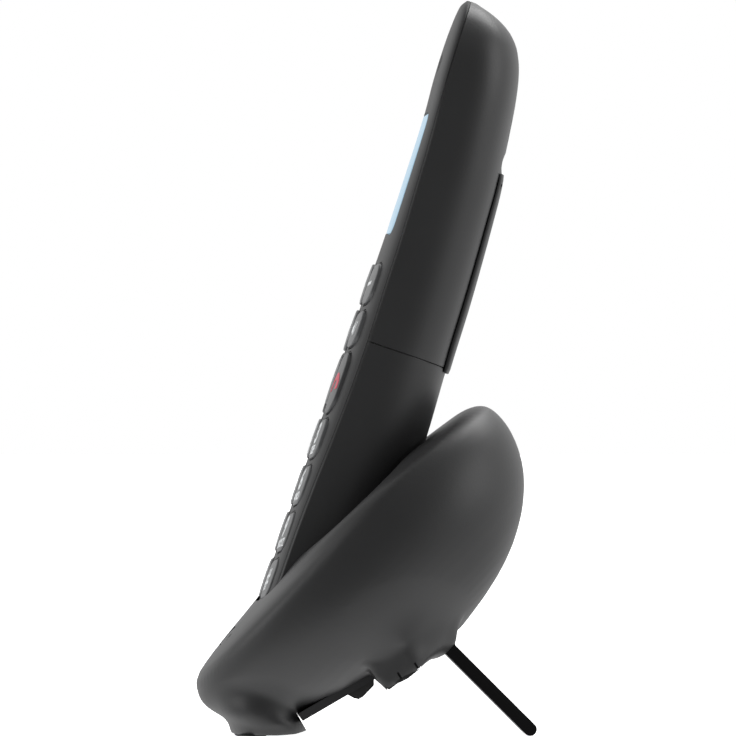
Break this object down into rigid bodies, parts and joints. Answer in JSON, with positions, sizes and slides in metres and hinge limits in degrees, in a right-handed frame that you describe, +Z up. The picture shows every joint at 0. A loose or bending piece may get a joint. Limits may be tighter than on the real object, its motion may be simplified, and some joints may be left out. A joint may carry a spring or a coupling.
{
  "type": "cordless telephone with charging base",
  "caption": "Cordless telephone handset standing tilted in an oval charging base with a folding rear leg, display, keypad, battery cover and belt clip.",
  "frame": {"origin": "on the desk, under the centre of the whole object's bounding box", "axes": "+X is the handset's right side seen from the front, the keypad faces -Y, +Z up"},
  "size_m": [0.088, 0.0863, 0.1879],
  "materials": {
    "black": "gloss black",
    "board": "green circuit board",
    "cell": "printed cell jacket",
    "contact": "gold plated",
    "display": "pale blue",
    "jack": "black",
    "key": "dark grey plastic with light legends",
    "lens": "clear lens over a pale blue display",
    "light": "green light pipe",
    "membrane": "pale silicone",
    "metal": "bright steel",
    "rubber": "matt black",
    "shell": "satin black plastic"
  },
  "bodies": {
    "base": {"base_shell": "shell", "bottom_cover": "black", "leg_pin": "metal", "base_pcb": "board", "charge_pin_holder": "jack", "rubber_feet": "rubber", "front_foot_pad": "rubber", "line_jack": "jack", "power_jack": "jack", "charge_light": "light", "base_screws": "metal", "base_antenna": "contact"},
    "leg": {"stand_leg": "black"},
    "handset": {"rear_housing": "shell", "front_housing": "shell", "battery_cover": "shell", "display_lens": "lens", "lcd_module": "display", "earpiece_speaker": "metal", "earpiece_grille": "jack", "ringer_speaker": "metal", "microphone": "metal", "handset_pcb": "board", "keypad_membrane": "membrane", "battery_cells": "cell", "battery_springs": "metal", "handset_contacts": "contact", "handset_screws": "metal", "handset_antenna": "contact"},
    "clip": {"belt_clip": "black"},
    "page_button": {"page_key": "key"},
    "charge_pin_left": {"charge_pin_left": "contact"},
    "charge_pin_right": {"charge_pin_right": "contact"},
    "key_1": {"key_1": "key"},
    "key_2": {"key_2": "key"},
    "key_3": {"key_3": "key"},
    "key_4": {"key_4": "key"},
    "key_5": {"key_5": "key"},
    "key_6": {"key_6": "key"},
    "key_7": {"key_7": "key"},
    "key_8": {"key_8": "key"},
    "key_9": {"key_9": "key"},
    "key_star": {"key_star": "key"},
    "key_0": {"key_0": "key"},
    "key_hash": {"key_hash": "key"},
    "key_talk": {"key_talk": "key"},
    "key_end": {"key_end": "key"},
    "key_redial": {"key_redial": "key"},
    "key_mute": {"key_mute": "key"},
    "key_soft_left": {"key_soft_left": "key"},
    "key_soft_right": {"key_soft_right": "key"},
    "key_up": {"key_up": "key"},
    "key_select": {"key_select": "key"},
    "key_down": {"key_down": "key"}
  },
  "joints": [
    {"name": "handset_lift", "type": "slide", "parent": "base", "child": "handset", "axis": [0, 0.3256, 0.9455], "range_m": [0, 0.12]},
    {"name": "leg_fold", "type": "hinge", "parent": "base", "child": "leg", "pos_m": [0, 0.01865, 0.0238], "axis": [-1, 0, 0], "range_deg": [0, 100]},
    {"name": "clip_flex", "type": "hinge", "parent": "handset", "child": "clip", "pos_m": [0, 0.03484, 0.14284], "axis": [1, 0, 0], "range_deg": [0, 6], "stiffness_Nm_per_rad": 1.2},
    {"name": "key_1_press", "type": "slide", "parent": "handset", "child": "key_1", "axis": [0, 0.9455, -0.3256], "range_m": [0, 0.0008], "stiffness_N_per_m": 900, "springref_m": -0.0002},
    {"name": "key_2_press", "type": "slide", "parent": "handset", "child": "key_2", "axis": [0, 0.9455, -0.3256], "range_m": [0, 0.0008], "stiffness_N_per_m": 900, "springref_m": -0.0002},
    {"name": "key_3_press", "type": "slide", "parent": "handset", "child": "key_3", "axis": [0, 0.9455, -0.3256], "range_m": [0, 0.0008], "stiffness_N_per_m": 900, "springref_m": -0.0002},
    {"name": "key_4_press", "type": "slide", "parent": "handset", "child": "key_4", "axis": [0, 0.9455, -0.3256], "range_m": [0, 0.0008], "stiffness_N_per_m": 900, "springref_m": -0.0002},
    {"name": "key_5_press", "type": "slide", "parent": "handset", "child": "key_5", "axis": [0, 0.9455, -0.3256], "range_m": [0, 0.0008], "stiffness_N_per_m": 900, "springref_m": -0.0002},
    {"name": "key_6_press", "type": "slide", "parent": "handset", "child": "key_6", "axis": [0, 0.9455, -0.3256], "range_m": [0, 0.0008], "stiffness_N_per_m": 900, "springref_m": -0.0002},
    {"name": "key_7_press", "type": "slide", "parent": "handset", "child": "key_7", "axis": [0, 0.9455, -0.3256], "range_m": [0, 0.0008], "stiffness_N_per_m": 900, "springref_m": -0.0002},
    {"name": "key_8_press", "type": "slide", "parent": "handset", "child": "key_8", "axis": [0, 0.9455, -0.3256], "range_m": [0, 0.0008], "stiffness_N_per_m": 900, "springref_m": -0.0002},
    {"name": "key_9_press", "type": "slide", "parent": "handset", "child": "key_9", "axis": [0, 0.9455, -0.3256], "range_m": [0, 0.0008], "stiffness_N_per_m": 900, "springref_m": -0.0002},
    {"name": "key_star_press", "type": "slide", "parent": "handset", "child": "key_star", "axis": [0, 0.9455, -0.3256], "range_m": [0, 0.0008], "stiffness_N_per_m": 900, "springref_m": -0.0002},
    {"name": "key_0_press", "type": "slide", "parent": "handset", "child": "key_0", "axis": [0, 0.9455, -0.3256], "range_m": [0, 0.0008], "stiffness_N_per_m": 900, "springref_m": -0.0002},
    {"name": "key_hash_press", "type": "slide", "parent": "handset", "child": "key_hash", "axis": [0, 0.9455, -0.3256], "range_m": [0, 0.0008], "stiffness_N_per_m": 900, "springref_m": -0.0002},
    {"name": "key_talk_press", "type": "slide", "parent": "handset", "child": "key_talk", "axis": [0, 0.9455, -0.3256], "range_m": [0, 0.0008], "stiffness_N_per_m": 900, "springref_m": -0.0002},
    {"name": "key_end_press", "type": "slide", "parent": "handset", "child": "key_end", "axis": [0, 0.9455, -0.3256], "range_m": [0, 0.0008], "stiffness_N_per_m": 900, "springref_m": -0.0002},
    {"name": "key_redial_press", "type": "slide", "parent": "handset", "child": "key_redial", "axis": [0, 0.9455, -0.3256], "range_m": [0, 0.0008], "stiffness_N_per_m": 900, "springref_m": -0.0002},
    {"name": "key_mute_press", "type": "slide", "parent": "handset", "child": "key_mute", "axis": [0, 0.9455, -0.3256], "range_m": [0, 0.0008], "stiffness_N_per_m": 900, "springref_m": -0.0002},
    {"name": "key_soft_left_press", "type": "slide", "parent": "handset", "child": "key_soft_left", "axis": [0, 0.9455, -0.3256], "range_m": [0, 0.0008], "stiffness_N_per_m": 900, "springref_m": -0.0002},
    {"name": "key_soft_right_press", "type": "slide", "parent": "handset", "child": "key_soft_right", "axis": [0, 0.9455, -0.3256], "range_m": [0, 0.0008], "stiffness_N_per_m": 900, "springref_m": -0.0002},
    {"name": "key_up_press", "type": "slide", "parent": "handset", "child": "key_up", "axis": [0, 0.9455, -0.3256], "range_m": [0, 0.0008], "stiffness_N_per_m": 900, "springref_m": -0.0002},
    {"name": "key_select_press", "type": "slide", "parent": "handset", "child": "key_select", "axis": [0, 0.9455, -0.3256], "range_m": [0, 0.0008], "stiffness_N_per_m": 900, "springref_m": -0.0002},
    {"name": "key_down_press", "type": "slide", "parent": "handset", "child": "key_down", "axis": [0, 0.9455, -0.3256], "range_m": [0, 0.0008], "stiffness_N_per_m": 900, "springref_m": -0.0002},
    {"name": "page_press", "type": "slide", "parent": "base", "child": "page_button", "axis": [0, 0.7455, -0.6665], "range_m": [0, 0.0008], "stiffness_N_per_m": 600, "springref_m": -0.0002},
    {"name": "charge_pin_left_press", "type": "slide", "parent": "base", "child": "charge_pin_left", "axis": [0, -0.3256, -0.9455], "range_m": [0, 0.001], "stiffness_N_per_m": 300, "springref_m": -0.0003},
    {"name": "charge_pin_right_press", "type": "slide", "parent": "base", "child": "charge_pin_right", "axis": [0, -0.3256, -0.9455], "range_m": [0, 0.001], "stiffness_N_per_m": 300, "springref_m": -0.0003}
  ]
}
